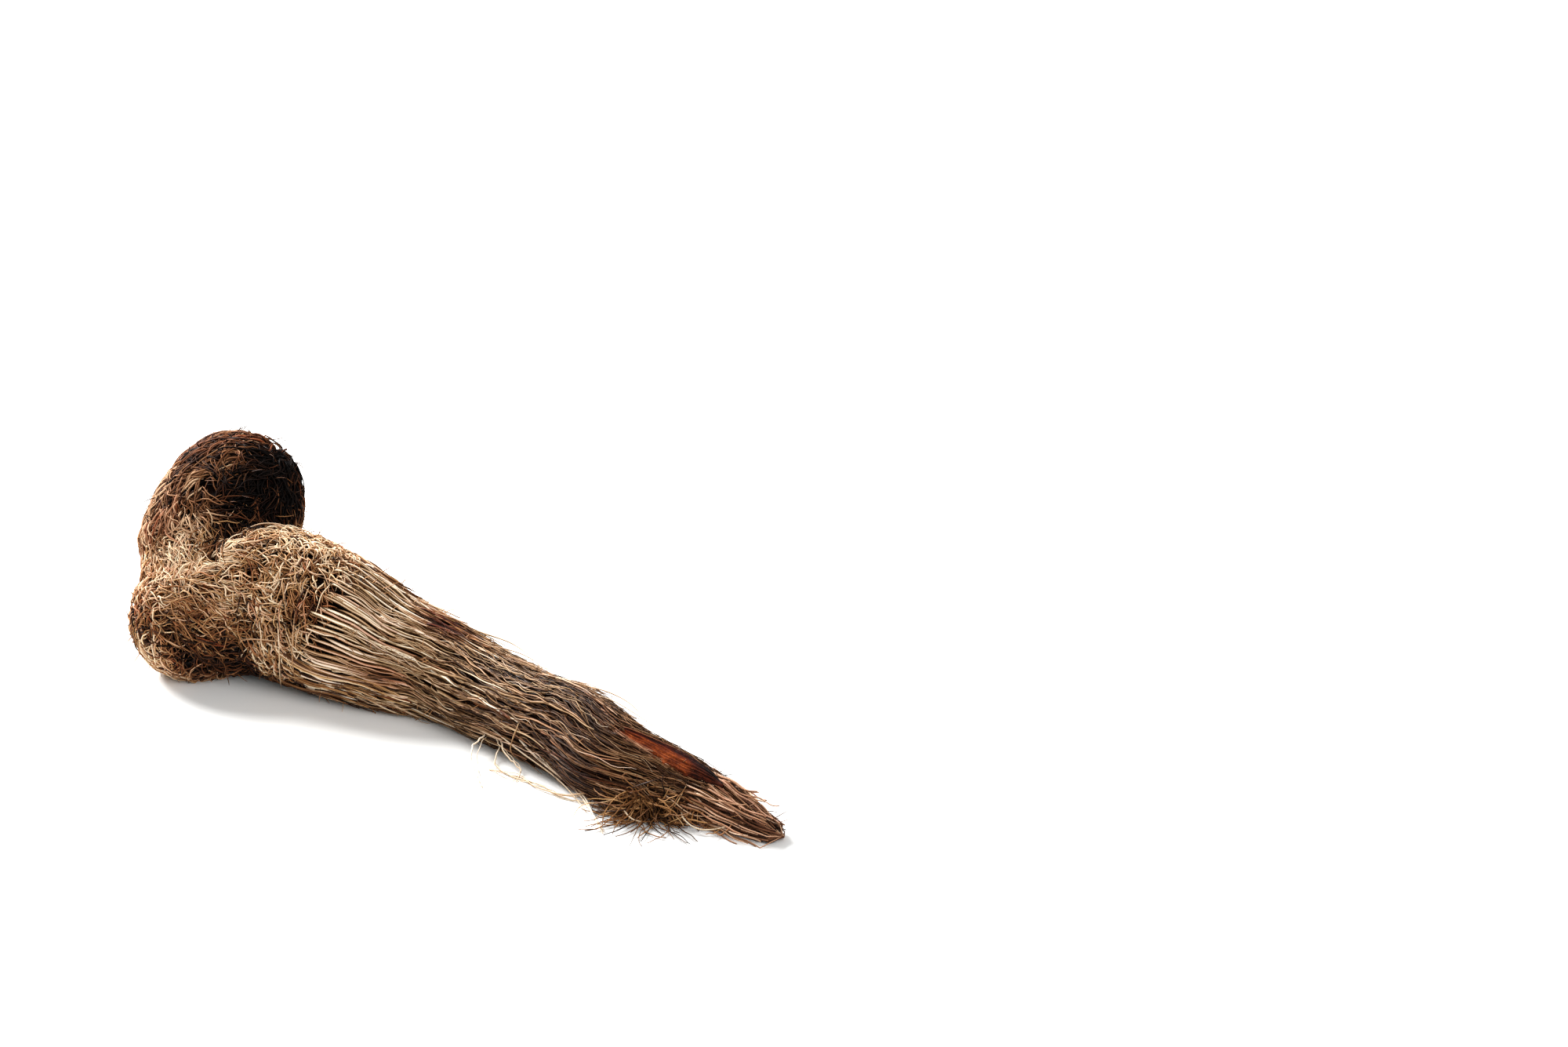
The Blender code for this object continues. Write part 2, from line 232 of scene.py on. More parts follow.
class Strands:
    """Many strands of one point count. Tone and red have a value for each strand or each point."""

    def __init__(self, paths, outward, radius, tone, red, taper=0.35, flat=1.0):
        count, steps, _ = paths.shape
        t = np.linspace(0.0, 1.0, steps)
        self.paths, self.outward, self.flat = paths, outward, flat
        self.radii = radius[:, None] * (1 - (1 - taper) * t**2.2)
        self.radii = self.radii * (0.55 + 0.45 * smooth(0.0, 0.12, t))
        self.tone, self.red = (
            np.broadcast_to(value if value.ndim == 2 else value[:, None], (count, steps))
            for value in (tone, red)
        )


def loose(lines, radius, tone, red, taper=0.5):
    """Strands along given paths, all of one point count."""
    paths = np.array(lines, float)
    values = (np.array(value, float) for value in (radius, tone, red))
    return Strands(paths, np.broadcast_to(UP, paths.shape), *values, taper=taper)


def varied(lines, radius, tone, red, taper=0.5):
    """Loose strands with a lowest and highest radius, and the mean and spread of tone and red."""
    count = len(lines)
    radii = rng.uniform(*radius, count)
    tones = rng.normal(*tone, count)
    return loose(lines, radii, tones, np.clip(rng.normal(*red, count), 0, 1), taper)


def soft_floor(depth):
    """Keeps depths above 0 and in their order, so strands aren't pressed into one plane there."""
    return SOFTNESS * np.logaddexp(0.0, depth / SOFTNESS)


def grow(name, groups, sides, material, side_shade=0.16):
    """One piece of closed tubes, one for each strand in the groups, kept inside the CAD box."""
    points, quads, caps, base = [], [], [], 0
    values = {"tone": [], "red": [], "fibre": []}
    low, high = (np.array(corner) / MM for corner in cad_box)
    turn = math.pi / 2 + 2 * math.pi * np.arange(sides) / sides
    across, upward = np.cos(turn), np.sin(turn)
    # Painted light and shade on each strand: the tone is raised on its top and lowered on its sides
    # by side_shade, standing for how light falls round a fibre.
    painted_strand_light = 0.10 * upward - side_shade * np.abs(across)
    for strands in groups:
        count, steps, _ = strands.paths.shape
        room = strands.radii[..., None] - BOX_MARGIN
        paths = low + room + soft_floor(strands.paths - low - room)
        paths = high - room - soft_floor(high - room - paths)
        paths[..., 2] = np.maximum(paths[..., 2], strands.radii * 1.05 + 0.02)
        ahead = unit(np.gradient(paths, axis=1))
        side = unit(np.cross(strands.outward, ahead) + 1e-6)
        up = np.cross(ahead, side)
        size = strands.radii[..., None, None]
        wide = (size * across[:, None]) * side[:, :, None, :]
        tall = (size * upward[:, None]) * up[:, :, None, :] * strands.flat
        points.append((paths[:, :, None, :] + wide + tall).reshape(-1, 3))

        shape = (count, steps, sides)
        index = base + np.arange(count * steps * sides).reshape(shape)
        turned = np.roll(index, -1, axis=2)
        walls = [index[:, :-1], turned[:, :-1], turned[:, 1:], index[:, 1:]]
        quads.append(np.stack(walls, axis=-1).reshape(-1, 4))
        caps.append(np.concatenate([index[:, 0, ::-1], index[:, -1]]))
        base += index.size

        gaps = np.linalg.norm(np.diff(paths, axis=1), axis=2)
        run = np.concatenate([np.zeros((count, 1)), np.cumsum(gaps, axis=1)], axis=1)
        seed = rng.uniform(0, 400, count)[:, None]
        fibre = (across * 0.5, upward * 0.5, (run * PATTERN_STEP + seed)[:, :, None])
        fibre = np.stack([np.broadcast_to(value, shape) for value in fibre], axis=-1)
        values["fibre"].append(fibre.reshape(-1, 3))
        values["tone"].append((strands.tone[..., None] + painted_strand_light).reshape(-1))
        values["red"].append(np.repeat(strands.red.reshape(-1), sides))
    joined = {key: np.concatenate(value) for key, value in values.items()}
    faces = [np.concatenate(quads), np.concatenate(caps)]
    dress(mesh_object(name, np.concatenate(points), faces, joined), material)


# ---- materials

RED_BROWN = (196, 118, 82)
EVEN_STEPS = (0.0, 0.25, 0.5, 0.75, 1.0)
STREAKS, PATCHES, SPECKS = (5.0, 3.0), (900.0, 2.0), (5200.0, 2.0)
STREAK_SHARE, PATCH_SHARE, SPECK_SHARE = 1.8, 0.7, 0.6


def linear(colour):
    """A scene-linear colour from an sRGB one of 0 to 255."""
    share = np.array(colour) / 255
    curved = ((share + 0.055) / 1.055) ** 2.4
    return tuple(np.where(share <= 0.04045, share / 12.92, curved)) + (1.0,)


def set_inputs(node, values):
    for key, value in values.items():
        node.inputs[key].default_value = value


def ramp_node(nodes, steps, colours):
    """A colour ramp through the colours. The first step is 0 and the last is 1."""
    node = nodes.new("ShaderNodeValToRGB")
    elements = node.color_ramp.elements
    elements[0].color, elements[1].color = linear(colours[0]), linear(colours[-1])
    for position, colour in list(zip(steps, colours))[1:-1]:
        elements.new(position).color = linear(colour)
    return node


def fibre_material(name, roughness, colours, steps=EVEN_STEPS, streak=0.30, gloss=0.15):
    """Dry plant fibre: a ramp read by each strand's tone, with streaks, patches and specks."""
    made = bpy.data.materials.new(name)
    made.use_nodes = True
    nodes, links = made.node_tree.nodes, made.node_tree.links
    shader = nodes["Principled BSDF"]

    def attribute(key):
        node = nodes.new("ShaderNodeAttribute")
        node.attribute_name = key
        return node

    def math_node(kind, a, b, clamp=False):
        node = nodes.new("ShaderNodeMath")
        node.operation = kind
        node.use_clamp = clamp
        for socket, value in zip(node.inputs, (a, b)):
            if isinstance(value, (int, float)):
                socket.default_value = value
            else:
                links.new(value, socket)
        return node.outputs[0]

    def noise_node(vector, scale, detail):
        node = nodes.new("ShaderNodeTexNoise")
        set_inputs(node, {"Scale": scale, "Detail": detail})
        links.new(vector, node.inputs["Vector"])
        return node.outputs["Fac"]

    def centred(value, share):
        return math_node("MULTIPLY", math_node("SUBTRACT", value, 0.5), streak * share)

    place = nodes.new("ShaderNodeTexCoord").outputs["Object"]
    streaks = noise_node(attribute("fibre").outputs["Vector"], *STREAKS)
    patches = noise_node(place, *PATCHES)
    specks = noise_node(place, *SPECKS)
    spread = math_node("ADD", centred(streaks, STREAK_SHARE), centred(patches, PATCH_SHARE))
    spread = math_node("ADD", spread, centred(specks, SPECK_SHARE))
    ramp = ramp_node(nodes, steps, colours)
    tone = math_node("ADD", attribute("tone").outputs["Fac"], spread, clamp=True)
    links.new(tone, ramp.inputs["Fac"])

    warm = nodes.new("ShaderNodeMix")
    warm.data_type = "RGBA"
    warm.blend_type = "MULTIPLY"
    set_inputs(warm, {"B": linear(RED_BROWN)})
    links.new(attribute("red").outputs["Fac"], warm.inputs["Factor"])
    links.new(ramp.outputs["Color"], warm.inputs["A"])
    links.new(warm.outputs["Result"], shader.inputs["Base Color"])

    rough = nodes.new("ShaderNodeMapRange")
    set_inputs(rough, {"From Min": 0.3, "From Max": 0.7})
    set_inputs(rough, {"To Min": roughness - 0.12, "To Max": roughness + 0.12})
    links.new(streaks, rough.inputs["Value"])
    links.new(rough.outputs["Result"], shader.inputs["Roughness"])
    set_inputs(shader, {"Specular IOR Level": gloss})

    bump = nodes.new("ShaderNodeBump")
    set_inputs(bump, {"Strength": 0.35, "Distance": 0.00004})
    links.new(math_node("ADD", streaks, specks), bump.inputs["Height"])
    links.new(bump.outputs["Normal"], shader.inputs["Normal"])
    return made


STRAW = fibre_material(
    "straw_fibre",
    0.50,
    ((46, 28, 15), (102, 70, 40), (162, 127, 87), (214, 186, 148), (250, 238, 218)),
)
GOLDEN = fibre_material(
    "golden_fibre",
    0.58,
    ((22, 12, 7), (72, 42, 21), (140, 94, 52), (200, 156, 104), (246, 224, 190)),
)
RUST = fibre_material(
    "rusty_fibre",
    0.68,
    ((9, 5, 4), (44, 25, 15), (96, 60, 36), (146, 100, 64), (196, 164, 130)),
    gloss=0.08,
)
TAIL = fibre_material(
    "tail_fibre",
    0.52,
    ((26, 13, 8), (72, 42, 25), (124, 83, 56), (176, 134, 100), (232, 206, 178)),
)
DARK = fibre_material(
    "dark_fibre",
    0.66,
    ((8, 5, 3), (38, 22, 12), (84, 54, 33), (138, 104, 74), (206, 184, 158)),
    gloss=0.08,
)
LEAF = fibre_material(
    "leaf_base",
    0.64,
    ((14, 4, 2), (44, 14, 6), (92, 36, 12), (138, 64, 26), (184, 100, 52)),
    steps=(0.0, 0.3, 0.6, 0.85, 1.0),
    streak=0.85,
    gloss=0.07,
)


# ---- the skin that all fibres lie on


def core_surface():
    """The trunk and the rear crown as one skin, made by remeshing their two closed shells."""
    points, quads, base = [], [], 0
    for tube, rings, sides in ((trunk, 150, 72), (crown, 60, 60)):
        along = 0.02 + (tube.length - 0.02) * np.linspace(0.0, 1.0, rings) ** 1.3
        angle = FULL_TURN * np.arange(sides) / sides
        grid_along, grid_angle = np.meshgrid(along, angle, indexing="ij")
        skin, _ = tube.skin(grid_along, grid_angle, np.zeros(grid_along.shape))
        skin[..., 2] = np.maximum(skin[..., 2], 0.12)
        index = base + np.arange(rings * sides).reshape(rings, sides)
        turned = np.roll(index, -1, axis=1)
        walls = [index[:-1], turned[:-1], turned[1:], index[1:]]
        quads.append(np.stack(walls, axis=-1).reshape(-1, 4))
        points.append(skin.reshape(-1, 3))
        base += rings * sides
        for ring, end in ((index[0][::-1], skin[0]), (index[-1], skin[-1])):
            points.append(end.mean(axis=0)[None])
            middle = np.full(sides, base)
            quads.append(np.stack([ring, np.roll(ring, -1), middle, middle], axis=-1))
            base += 1
    points, quads = np.concatenate(points), np.concatenate(quads).tolist()
    mesh = bpy.data.meshes.new("skin")
    polygons = [quad[:3] if quad[2] == quad[3] else quad for quad in quads]
    mesh.from_pydata((points * MM).tolist(), [], polygons)
    shells = add_object("skin", mesh)
    remesh = shells.modifiers.new("remesh", "REMESH")
    remesh.mode = "VOXEL"
    remesh.voxel_size = VOXEL * MM
    graph = bpy.context.evaluated_depsgraph_get()
    joined = bpy.data.meshes.new_from_object(shells.evaluated_get(graph))
    bpy.data.objects.remove(shells)
    skin, normals = np.empty((2, len(joined.vertices) * 3))
    joined.vertices.foreach_get("co", skin)
    joined.vertices.foreach_get("normal", normals)
    faces = [tuple(polygon.vertices) for polygon in joined.polygons]
    return skin.reshape(-1, 3) / MM, normals.reshape(-1, 3), faces


skin_points, skin_normals, skin_faces = core_surface()
surface = BVHTree.FromPolygons(skin_points.tolist(), skin_faces)


def nearest(points):
    """The closest places on the skin to some points, and the directions out of the skin there."""
    flat = points.reshape(-1, 3)
    found, outward = np.empty(flat.shape), np.empty(flat.shape)
    for i, point in enumerate(flat.tolist()):
        found[i], outward[i], _, _ = surface.find_nearest(point)
    return found.reshape(points.shape), outward.reshape(points.shape)


def scatter(count):
    """Places spread evenly over the skin."""
    fans = [(f[0], f[i], f[i + 1]) for f in skin_faces for i in range(1, len(f) - 1)]
    a, b, c = (skin_points[corner] for corner in np.array(fans).T)
    area = np.linalg.norm(np.cross(b - a, c - a), axis=1)
    pick = rng.choice(len(fans), count, p=area / area.sum())
    u, v = rng.random((2, count, 1))
    u, v = np.where(u + v > 1, 1 - u, u), np.where(u + v > 1, 1 - v, v)
    return a[pick] + u * (b - a)[pick] + v * (c - a)[pick]


def address(tube, points):
    """For each point, the distance along the tube, the angle round it, its share of the radius,
    and the directions along the tube and round it."""
    samples = np.linspace(0.0, tube.length, 160)
    gap = np.linalg.norm(points[:, None, :] - tube.rows(samples)[None, :, :3], axis=2)
    along = samples[gap.argmin(axis=1)]
    here, ahead, side, up = tube.frames(along)
    row = tube.rows(along)
    offset = points - here
    across = (offset * side).sum(axis=1)
    high = (offset * up).sum(axis=1)
    angle = np.arctan2(high, across)
    share = np.hypot(across / row[:, 3], high / row[:, 4])
    around = up * np.cos(angle)[:, None] - side * np.sin(angle)[:, None]
    return along, angle % FULL_TURN, share, ahead, around


def field(points, size, seed):
    """A smooth random value from about -1 to 1 at each point."""
    shift = Vector((seed * 17.3, seed * 5.1, seed * 9.7))
    return np.array([noise.noise(Vector(p) / size + shift) for p in points.tolist()]) * 1.6


def walk(starts, heading, length, steps, curl, sway, phase, lift):
    """Strands that lie on the skin. Each starts in its heading, turns by its curl at every step
    and waves by its sway, and its ends dip under the skin."""
    place, outward = nearest(starts)
    ahead = unit(heading - outward * (heading * outward).sum(axis=1, keepdims=True))
    paths, normals = [place], [outward]
    for j in range(1, steps):
        turn = (curl + sway * np.cos(phase + j * 1.35))[:, None]
        ahead = ahead * np.cos(turn) + np.cross(outward, ahead) * np.sin(turn)
        place, outward = nearest(place + ahead * (length / (steps - 1))[:, None])
        ahead = unit(ahead - outward * (ahead * outward).sum(axis=1, keepdims=True))
        paths.append(place)
        normals.append(outward)
    paths, normals = np.stack(paths, axis=1), np.stack(normals, axis=1)
    t = np.linspace(0.0, 1.0, steps)
    arch = np.sin(np.pi * np.clip(t * 0.9 + 0.05, 0, 1)) ** 0.6
    height = -0.25 + (lift[:, None] + 0.25) * arch
    return paths + normals * height[..., None], normals


# ---- the woody core, which shows between the fibres


def roughness_at(point):
    return noise.noise(Vector(point) / 1.3) + 0.5 * noise.noise(Vector(point) / 0.5)


deep = np.array([roughness_at(point) for point in skin_points.tolist()])
tip_share = smooth(26.0, 37.0, skin_points[:, 0])
sunk = 0.55 - 0.22 * deep * (1 - tip_share) - 0.05 * tip_share
core_points = skin_points - skin_normals * sunk[:, None]
core_points[:, 2] = np.maximum(core_points[:, 2], 0.06)
core_faces = [np.array([f for f in skin_faces if len(f) == n]) for n in (3, 4)]
# The core's near-black tone is partly its own dark colour and partly painted shade that shows
# between the fibres; it is darker where the relief sinks deeper, also painted shade.
core_values = {
    "tone": 0.10 + 0.14 * deep + 0.34 * tip_share,
    "red": 0.6 + 0.3 * deep,
    "fibre": core_points * np.array((PATTERN_STEP, 1.0, 1.0)),
}
dress(mesh_object("woody_core", core_points, [f for f in core_faces if len(f)], core_values), DARK)


# ---- the combed tuft

# Reddish places on the coat: strength, middle and reach along it, angle and reach round it.
RED_PATCHES = ((0.9, 33.4, 3.0, 1.50, 0.34), (0.5, 30.0, 3.0, 3.1, 0.22))
# Steps that spread strands evenly over a square, from the plastic number.
EVEN_ALONG, EVEN_ROUND = 0.754877666, 0.569840291


def sheath_width(t):
    """The leaf base's half width along it: wide near its foot, with a slender end."""
    t = np.clip(t, 0.0, 1.0)
    return SHEATH_HALF_WIDTH * (3.5 * t**0.85 * (1 - t) ** 1.1 + 0.08)


def sheath_radius(along):
    return trunk.rows(along)[..., 4] + SHEATH_LIFT


def over_sheath(along, angle):
    """1 where the dried leaf base covers the root, 0 away from it."""
    t = (along - SHEATH_FIRST) / SHEATH_LENGTH
    middle = SHEATH_ANGLE + SHEATH_WINDING * t
    away = (angle - middle + np.pi) % FULL_TURN - np.pi
    across = np.abs(away) * sheath_radius(along) / np.maximum(sheath_width(t), 0.25)
    return smooth(0.04, 0.16, t) * smooth(1.0, 0.86, t) * smooth(0.95, 0.65, across)


def wave(run, slowest, fastest):
    """A wave along each strand, at a rate and from a phase of its own."""
    rate = rng.uniform(slowest, fastest, len(run))
    return np.sin(run * rate[:, None] + rng.uniform(0, 6.3, len(run))[:, None])


def combed(
    count, steps, first, last, length, radius, lift, tone,
    kink=0.06, drift=0.035, free=(0.0, 0.3), fade=1.0, stray=0.04,
):
    """Strands combed along the root, evenly spread, which sway together with their neighbours.

    They start from first to last along it, and lie at a height of lift with their ends free to
    rise. kink and drift are each strand's own waves and turn, stray is how far it leaves its
    even place, and fade is how much the coat browns towards the tail.
    """
    i = np.arange(count)
    u, v = (0.5 + i * EVEN_ALONG) % 1.0, (0.5 + i * EVEN_ROUND) % 1.0
    t = np.linspace(0.0, 1.0, steps)
    start = first + (last - first) * u**1.12 + rng.uniform(-0.6, 0.6, count)
    end = np.minimum(start + rng.uniform(*length, count), trunk.length + 0.6)
    along = start[:, None] + (end - start)[:, None] * t
    base = (FULL_TURN * v + rng.normal(0, stray, count))[:, None]
    around = np.maximum(trunk.rows(along)[..., 3], 0.9)
    run = along - start[:, None]
    sway = 0.18 * np.sin(along / 2.6 + 2.2 * np.sin(base) + 0.8 * np.cos(3 * base))
    sway = sway + 0.05 * np.sin(along / 0.95 + 4.0 * np.cos(base) + 2.0 * np.sin(5 * base))
    sway = sway * (1 - 0.5 * smooth(36.0, 48.0, along))
    own = kink * wave(run, 1.0, 2.6)
    own = own + rng.normal(0, drift, count)[:, None] * (run - 6.0)
    angle = base + (sway + own) / around

    rise = rng.uniform(*lift, count)[:, None]
    ends = rng.uniform(*free, count)[:, None]
    lying = rise + 0.10 * wave(run, 0.5, 1.1)
    height = -0.5 + (lying + 0.5) * smooth(0.0, 0.12, t) + ends * t**3
    height = height * np.clip(trunk.rows(along)[..., 4] / 2.2, 0.4, 1.0)
    height = np.minimum(height, 3.0 - 3.5 * over_sheath(along, angle))
    paths, outward = trunk.skin(along, angle, height)

    value = (tone + rng.normal(0.0, 0.19, count))[:, None]
    browner = smooth(24.0, 40.0, along) * 0.42 + smooth(40.0, 60.0, along) * 0.17
    # Painted shade on the underside of the root, and painted light on its top towards the tail,
    # where the tone is also made less red; the tone also falls the lower a strand lies, as painted
    # shade among the strands.
    under = smooth(0.2, -0.8, np.sin(angle)) * (0.16 - 0.10 * smooth(40.0, 54.0, along))
    painted_top_light = 0.11 * smooth(0.2, 0.9, np.sin(angle)) * smooth(34.0, 48.0, along)
    value = value - browner * fade - under + painted_top_light + 0.06 * (t - 0.5) + 0.85 * (height - lift[1])
    patch = sum(
        strength * bell((along - middle) / reach, (angle % FULL_TURN - turn) / width)
        for strength, middle, reach, turn, width in RED_PATCHES
    )
    redder = rng.normal(0, 0.15, count)[:, None]
    red = np.clip(0.12 + smooth(32.0, 58.0, along) * 0.34 - painted_top_light + redder + patch, 0, 1)
    sizes = rng.uniform(*radius, count) * (1 - 0.22 * smooth(32.0, 46.0, start))
    return Strands(paths, outward, sizes, value - 0.25 * patch, red, flat=0.8)


# The inner layer's dark tone is painted shade deep among the combed strands.
grow(
    "tuft_inner",
    [combed(1000, 14, 19.0, 66.0, (12, 22), (0.13, 0.18), (-0.15, 0.10), 0.24, fade=0.12)],
    3,
    TAIL,
)
grow(
    "tuft_outer",
    [
        combed(160, 30, 24.0, 58.0, (12, 24), (0.16, 0.21), (0.15, 0.32), 0.50, drift=0.04),
        combed(
            230, 30, 25.0, 60.0, (10, 24), (0.14, 0.19), (0.42, 0.62), 0.86,
            drift=0.04, free=(0.0, 0.5),
        ),
        combed(
            330, 24, 24.0, 62.0, (7, 18), (0.07, 0.11), (0.40, 0.74), 0.74,
            kink=0.1, drift=0.06, free=(0.0, 0.6),
        ),
    ],
    4,
    STRAW,
    side_shade=0.46,
)
grow(
    "tuft_long",
    [
        combed(
            100, 34, 19.6, 22.0, (16, 28), (0.12, 0.155), (0.48, 0.60), 1.00,
            kink=0.03, drift=0.012, stray=0.008,
        ),
        combed(
            84, 26, 20.2, 23.6, (10, 20), (0.10, 0.14), (0.20, 0.34), 0.62,
            kink=0.03, drift=0.02, stray=0.012,
        ),
        combed(
            60, 20, 20.0, 27.0, (6, 16), (0.05, 0.09), (0.58, 0.76), 0.88,
            kink=0.08, drift=0.04,
        ),
    ],
    4,
    STRAW,
    side_shade=0.54,
)
grow(
    "tuft_fine",
    [
        combed(
            420, 18, 23.0, 60.0, (6, 13), (0.045, 0.075), (0.55, 0.80), 0.76,
            kink=0.14, drift=0.09, free=(0.0, 0.7),
        ),
        combed(
            300, 16, 24.0, 60.0, (5, 12), (0.05, 0.08), (0.30, 0.62), 0.46,
            kink=0.12, drift=0.08,
        ),
    ],
    3,
    STRAW,
    side_shade=0.30,
)


# Torn scraps: distance along, angle in degrees, length, half width, tone and red.
FLAKES = (
    (30.0, 62, 7.5, 0.42, 0.62, 0.25),
    (32.5, 80, 6.5, 0.34, 0.55, 0.35),
    (29.0, 74, 5.0, 0.30, 0.35, 0.95),
    (31.0, 96, 4.5, 0.26, 0.30, 0.90),
    (27.5, 196, 6.0, 0.30, 0.42, 0.70),
    (36.0, 48, 6.5, 0.34, 0.60, 0.20),
    (34.0, 330, 6.5, 0.36, 0.50, 0.40),
    (26.5, 20, 7.0, 0.38, 0.55, 0.45),
    (41.0, 160, 6.0, 0.26, 0.40, 0.60),
    (44.0, 10, 7.0, 0.32, 0.42, 0.60),
    (50.0, 300, 6.0, 0.28, 0.40, 0.55),
)


def fringe(count, steps):
    """The fibres of the outermost leaf bases, which end in a ragged step behind the collar."""
    t = np.linspace(0.0, 1.0, steps)
    base = np.radians(rng.uniform(185, 425, count))[:, None]
    start = COLLAR_END + rng.uniform(-2.0, 1.5, count)
    end = rng.uniform(26.0, 33.5, count)
    along = start[:, None] + (end - start)[:, None] * t
    drift = rng.normal(0, 0.25, count)[:, None] * t
    angle = base + (0.3 * np.sin(along / 1.4 + 3 * base) + drift) / 5.5
    height = np.interp(t, (0.0, 0.15, 0.7, 1.0), (-0.5, 0.45, 0.6, 0.95))
    height = height + rng.uniform(-0.15, 0.2, count)[:, None]
    paths, outward = trunk.skin(along, angle, height)
    value = 0.44 + rng.normal(0, 0.22, count)[:, None]
    # Darker on the underside and lighter the higher a strand lies: painted shade and painted light.
    value = value - 0.15 * smooth(0.2, -0.8, np.sin(angle)) + 0.5 * (height - 0.6)
    red = np.clip(0.2 + rng.normal(0, 0.15, count), 0, 1)
    sizes = rng.uniform(0.10, 0.16, count)
    return Strands(paths, outward, sizes, value, red, taper=0.4, flat=0.8)


def flakes(places):
    """Flat torn scraps of old leaf base among the strands."""
    first, degrees, length, half_width, tone, red = np.array(places).T
    t = np.linspace(0.0, 1.0, 12)
    along = first[:, None] + length[:, None] * t
    angle = np.radians(degrees)[:, None] + 0.05 * np.sin(along / 1.5)
    height = np.interp(t, (0, 0.2, 0.8, 1.0), (0.1, 0.62, 0.72, 1.0))
    paths, outward = trunk.skin(along, angle, np.broadcast_to(height, along.shape))
    made = Strands(paths, outward, half_width, tone, red, flat=0.22)
    made.radii = half_width[:, None] * np.sin(np.pi * (0.08 + 0.84 * t)) ** 0.6
    return made


grow("fringe", [fringe(240, 12), flakes(FLAKES)], 4, GOLDEN)


# ---- the matted head and the rear crown

starts = scatter(42000)
on_trunk = address(trunk, starts)
on_crown = address(crown, starts)
is_crown = on_crown[2] * 0.97 < on_trunk[2]
mat_end = COLLAR_END + 1.6 + rng.uniform(-0.5, 0.5, len(starts))
in_head = is_crown | (on_trunk[0] < mat_end)
starts, is_crown = starts[in_head], is_crown[in_head]
t_along, t_angle, _, t_ahead, t_around = (value[in_head] for value in on_trunk)
c_along, c_angle, _, c_ahead, c_around = (value[in_head] for value in on_crown)
order = rng.permutation(len(starts))


def spot(middle, reach):
    """1 at a place on the head, fading out round it."""
    return bell(*((starts - np.array(middle)) / reach).T)


_, facing = nearest(starts)
height = starts[:, 2]

# Each strand's heading, from 0 along the root to a quarter turn round it.
swirl = field(starts, 4.5, 1.0)
fine_swirl = field(starts, 1.3, 2.0)
wave_phase = 3.5 * field(starts, 1.8, 8.0) + 2.0 * t_along
flow = -0.62 * np.cos(t_angle) + 0.38 * swirl + 0.35 * fine_swirl
flow = np.where(is_crown, 0.8 * swirl, flow)
flow = np.where(~is_crown & (t_along < 4.5), flow + 1.6 * fine_swirl, flow)
flow = np.where(~is_crown & (t_along > 13.5), flow + 0.30, flow)

# The head: darker low down and in the groove before the collar, which is painted shade, with a
# redder tint there; darker and redder on the end face and in one patch; lighter on its upper side,
# which is painted light.
level = np.clip((height - 5.2) / 5.8, -1.0, 1.0)
low = smooth(0.72, -0.28, level) * smooth(16.0, 10.0, t_along) + 0.5 * smooth(0.1, -0.6, level)
low = np.minimum(low, 1.0) * (1 - 0.5 * smooth(3.2, 0.8, t_along))
groove_at = np.interp(
    t_angle, np.radians((60, 111, 152, 180, 240)), (11.5, 12.8, 14.2, 14.6, 14.0)
)
groove_depth = 0.35 + 0.65 * smooth(0.95, 0.6, np.sin(t_angle))
groove = bell((t_along - groove_at) / 1.05) * groove_depth
end_face = smooth(5.0, 0.5, t_along)
patch = bell((t_along - 19.8) / 1.9, (t_angle - 2.35) / 0.30)
painted_head_top_light = smooth(0.3, 0.9, np.sin(t_angle)) * smooth(13.0, 10.0, t_along)
head_tone = 0.80 - 0.50 * groove - 0.68 * low - 0.12 * end_face - 0.22 * patch
head_tone = head_tone + 0.09 * field(starts, 2.6, 3.0) + 0.15 * field(starts, 0.9, 6.0)
head_tone = head_tone + 0.12 * painted_head_top_light
head_red = 0.10 + 0.5 * groove + 0.30 * low + 0.25 * end_face + 0.35 * patch
head_red = head_red + 0.18 * field(starts, 1.6, 7.0)

# The rear crown: darker on top and on the side that faces the tail, which is painted shade, and
# lighter towards its neck away from that side, which is painted light.
shaded = smooth(0.05, 0.65, facing[:, 0])
crown_tone = 0.73 - 0.29 * smooth(14.0, 18.5, height) - 0.56 * shaded
crown_tone = crown_tone + 0.10 * field(starts, 2.4, 4.0) + 0.10 * field(starts, 0.9, 9.0)
crown_tone = crown_tone + 0.15 * smooth(6.0, 11.0, c_along) * (1 - shaded)
crown_red = 0.25 + 0.3 * field(starts, 3.0, 5.0)

# A painted highlight, paler and less red, high on the head's front, and a darker, redder patch
# lower on its front.
painted_highlight_spot = spot((-29.3, -5.2, 13.0), 2.6)
dark_spot = spot((-26.4, -8.5, 8.8), 2.8)
tone = np.where(is_crown, crown_tone, head_tone) + 0.24 * painted_highlight_spot - 0.24 * dark_spot
red = np.where(is_crown, crown_red, head_red) - 0.2 * painted_highlight_spot + 0.3 * dark_spot
golden_from = 11.8 + 1.2 * fine_swirl
golden_from = golden_from + 3.5 * smooth(math.radians(95), math.radians(135), c_angle)
# The crown's painted-shade side is also kept off the golden strands, so the rusty ones cover it.
golden = ~is_crown | ((c_along > golden_from) & (shaded < 0.6))

# How far the headings scatter, and how much the whorl on the rear crown turns them.
tangle = 0.55 + 0.9 * np.maximum(smooth(5.5, 3.0, t_along), 0.8 * low)
tangle = np.where(is_crown, 1.0, tangle)
tangle = np.where(~is_crown & (t_along > COLLAR_START), 1.1, tangle)
from_whorl = starts - np.array(WHORL)
whorl_way = unit(np.cross(facing, from_whorl) + 1e-6)
whorl_gap = np.linalg.norm(from_whorl, axis=1)
whorl_share = 0.9 * bell(whorl_gap / 5.0) * smooth(0.5, 1.8, whorl_gap)
whorl_share = np.where(is_crown, whorl_share, 0.0)

head = golden & (is_crown | (t_along < COLLAR_START))
collar = ~is_crown & (t_along >= COLLAR_START)
dark = ~golden


